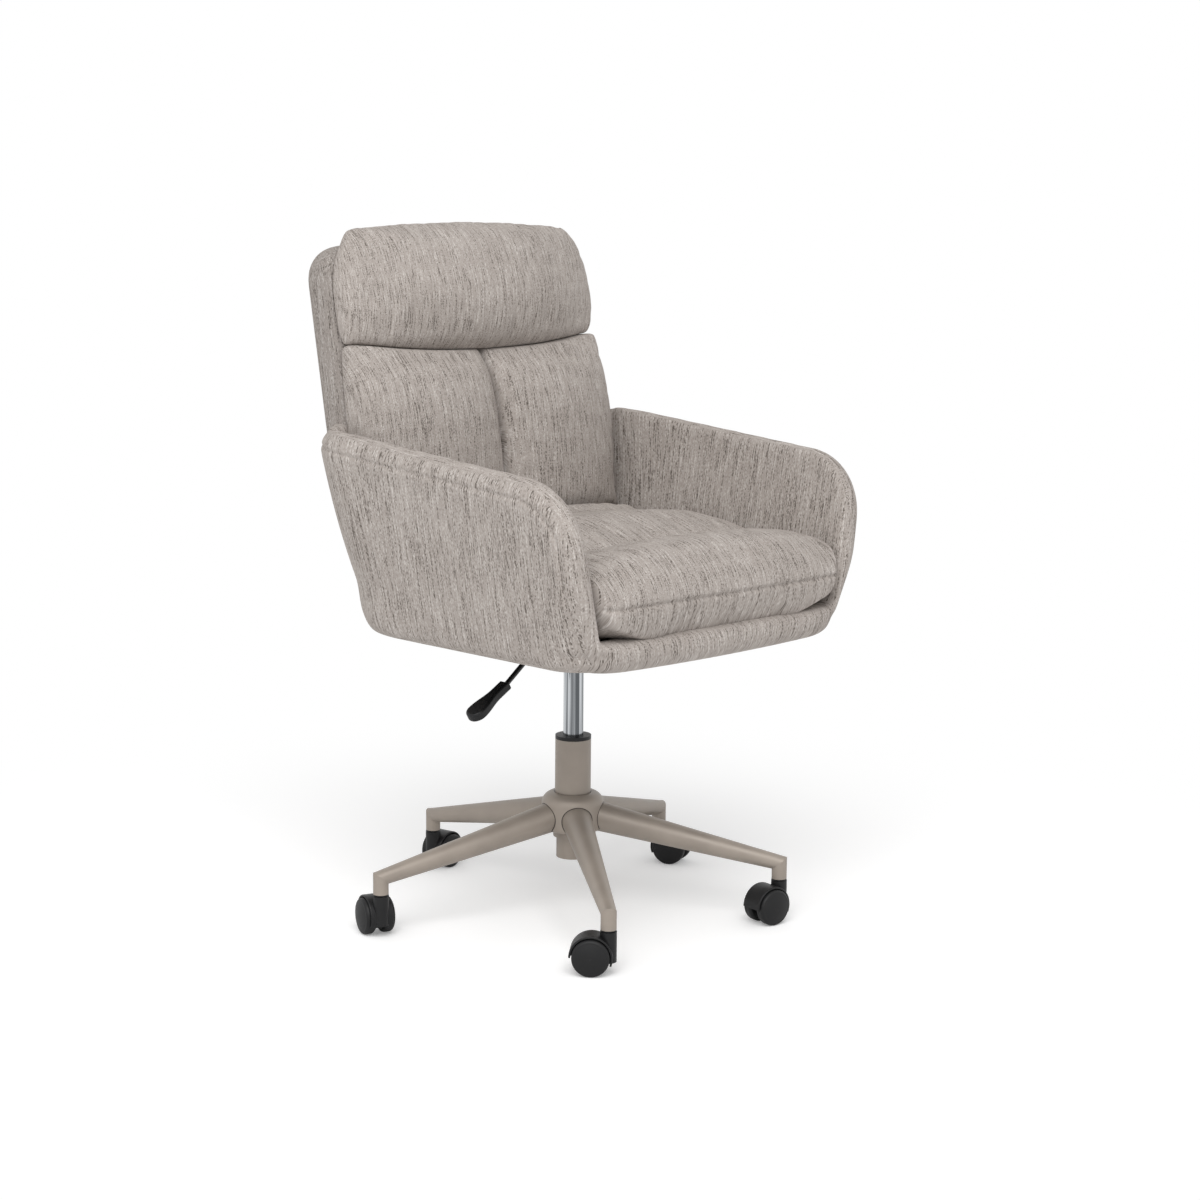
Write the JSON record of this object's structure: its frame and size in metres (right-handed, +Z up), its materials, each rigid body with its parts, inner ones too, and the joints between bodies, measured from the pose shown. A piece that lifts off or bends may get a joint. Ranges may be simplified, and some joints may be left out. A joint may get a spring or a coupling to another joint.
{
  "type": "swivel office chair",
  "caption": "Upholstered bucket-seat office chair with a padded head roll, swivelling gas-lift column, height lever and a star base on hooded twin-wheel casters.",
  "frame": {"origin": "on the floor, on the axis of the column", "axes": "+Z up along the column; the chair faces -Y, so +X is the sitter's left"},
  "size_m": [0.6092, 0.6132, 0.9529],
  "materials": {
    "upholstery": "heathered woven chenille",
    "base_paint": "satin taupe powder coat",
    "black_plastic": "fine moulded grain",
    "wheel_nylon": "satin moulded nylon",
    "chrome": "polished chrome",
    "steel": "zinc plated",
    "black_steel": "black satin paint",
    "aluminium": "machined",
    "bumper_rubber": "matte",
    "plywood": "raw plywood",
    "dust_cloth": "black non-woven cloth"
  },
  "bodies": {
    "base": {"base_leg_1": "base_paint", "base_leg_2": "base_paint", "base_leg_3": "base_paint", "base_leg_4": "base_paint", "base_leg_5": "base_paint", "base_hub": "base_paint", "stem_sleeves": "black_plastic", "column_tube": "base_paint", "column_guide": "black_plastic", "bearing_lower_race": "steel", "bearing_balls": "steel"},
    "spindle": {"bearing_upper_race": "steel", "piston_rod": "steel", "rod_clip": "steel", "rod_bumper": "bumper_rubber", "lift_piston": "aluminium"},
    "seat": {"gas_cylinder": "chrome", "cylinder_gland": "aluminium", "taper_socket": "black_steel", "seat_plate": "black_steel", "lever_pin": "steel", "plate_bolts": "steel", "tee_nuts": "steel", "seat_board": "plywood", "dust_cover": "dust_cloth", "back_shell": "upholstery", "arm_left": "upholstery", "arm_right": "upholstery", "front_rail": "upholstery", "seat_cushion": "upholstery", "back_cushion": "upholstery", "head_pad": "upholstery"},
    "lever": {"lever_rod": "black_steel", "lever_handle": "black_plastic"},
    "valve_pin": {"release_pin": "steel"},
    "caster_1": {"caster_1_hood": "black_plastic", "caster_1_stem": "steel", "caster_1_axle": "steel"},
    "caster_1_left": {"caster_1_wheel_left": "wheel_nylon"},
    "caster_1_right": {"caster_1_wheel_right": "wheel_nylon"},
    "caster_2": {"caster_2_hood": "black_plastic", "caster_2_stem": "steel", "caster_2_axle": "steel"},
    "caster_2_left": {"caster_2_wheel_left": "wheel_nylon"},
    "caster_2_right": {"caster_2_wheel_right": "wheel_nylon"},
    "caster_3": {"caster_3_hood": "black_plastic", "caster_3_stem": "steel", "caster_3_axle": "steel"},
    "caster_3_left": {"caster_3_wheel_left": "wheel_nylon"},
    "caster_3_right": {"caster_3_wheel_right": "wheel_nylon"},
    "caster_4": {"caster_4_hood": "black_plastic", "caster_4_stem": "steel", "caster_4_axle": "steel"},
    "caster_4_left": {"caster_4_wheel_left": "wheel_nylon"},
    "caster_4_right": {"caster_4_wheel_right": "wheel_nylon"},
    "caster_5": {"caster_5_hood": "black_plastic", "caster_5_stem": "steel", "caster_5_axle": "steel"},
    "caster_5_left": {"caster_5_wheel_left": "wheel_nylon"},
    "caster_5_right": {"caster_5_wheel_right": "wheel_nylon"}
  },
  "joints": [
    {"name": "seat_swivel", "type": "hinge", "parent": "base", "child": "spindle", "pos_m": [0, 0, 0.0905], "axis": [0, 0, 1], "continuous": true},
    {"name": "seat_lift", "type": "slide", "parent": "spindle", "child": "seat", "axis": [0, 0, 1], "range_m": [-0.08, 0]},
    {"name": "lever_pull", "type": "hinge", "parent": "seat", "child": "lever", "pos_m": [-0.034, 0, 0.4025], "axis": [0, 1, 0], "range_deg": [0, 4.5], "stiffness_Nm_per_rad": 3, "springref_deg": -5.73},
    {"name": "valve_press", "type": "slide", "parent": "seat", "child": "valve_pin", "axis": [0, 0, 1], "range_m": [-0.0028, 0]},
    {"name": "caster_1_swivel", "type": "hinge", "parent": "base", "child": "caster_1", "pos_m": [-0.00456, 0.29046, 0.06], "axis": [0, 0, 1], "continuous": true},
    {"name": "caster_1_left_roll", "type": "hinge", "parent": "caster_1", "child": "caster_1_left", "pos_m": [0.0171, 0.29428, 0.025], "axis": [-0.1736, 0.9848, 0], "continuous": true},
    {"name": "caster_1_right_roll", "type": "hinge", "parent": "caster_1", "child": "caster_1_right", "pos_m": [0.0171, 0.29428, 0.025], "axis": [-0.1736, 0.9848, 0], "continuous": true},
    {"name": "caster_2_swivel", "type": "hinge", "parent": "base", "child": "caster_2", "pos_m": [-0.27766, 0.08542, 0.06], "axis": [0, 0, 1], "continuous": true},
    {"name": "caster_2_left_roll", "type": "hinge", "parent": "caster_2", "child": "caster_2_left", "pos_m": [-0.27049, 0.10622, 0.025], "axis": [-0.9455, 0.3256, 0], "continuous": true},
    {"name": "caster_2_right_roll", "type": "hinge", "parent": "caster_2", "child": "caster_2_right", "pos_m": [-0.27049, 0.10622, 0.025], "axis": [-0.9455, 0.3256, 0], "continuous": true},
    {"name": "caster_3_swivel", "type": "hinge", "parent": "base", "child": "caster_3", "pos_m": [-0.16704, -0.23767, 0.06], "axis": [0, 0, 1], "continuous": true},
    {"name": "caster_3_left_roll", "type": "hinge", "parent": "caster_3", "child": "caster_3_left", "pos_m": [-0.18147, -0.22107, 0.025], "axis": [-0.7547, -0.6561, 0], "continuous": true},
    {"name": "caster_3_right_roll", "type": "hinge", "parent": "caster_3", "child": "caster_3_right", "pos_m": [-0.18147, -0.22107, 0.025], "axis": [-0.7547, -0.6561, 0], "continuous": true},
    {"name": "caster_4_swivel", "type": "hinge", "parent": "base", "child": "caster_4", "pos_m": [0.17442, -0.23231, 0.06], "axis": [0, 0, 1], "continuous": true},
    {"name": "caster_4_left_roll", "type": "hinge", "parent": "caster_4", "child": "caster_4_left", "pos_m": [0.15264, -0.22925, 0.025], "axis": [-0.1392, -0.9903, 0], "continuous": true},
    {"name": "caster_4_right_roll", "type": "hinge", "parent": "caster_4", "child": "caster_4_right", "pos_m": [0.15264, -0.22925, 0.025], "axis": [-0.1392, -0.9903, 0], "continuous": true},
    {"name": "caster_5_swivel", "type": "hinge", "parent": "base", "child": "caster_5", "pos_m": [0.27484, 0.0941, 0.06], "axis": [0, 0, 1], "continuous": true},
    {"name": "caster_5_left_roll", "type": "hinge", "parent": "caster_5", "child": "caster_5_left", "pos_m": [0.28308, 0.0737, 0.025], "axis": [0.9272, 0.3746, 0], "continuous": true},
    {"name": "caster_5_right_roll", "type": "hinge", "parent": "caster_5", "child": "caster_5_right", "pos_m": [0.28308, 0.0737, 0.025], "axis": [0.9272, 0.3746, 0], "continuous": true}
  ],
  "couplings": [
    {"joint": "valve_press", "follows": "lever_pull", "m_per_rad": -0.034}
  ]
}
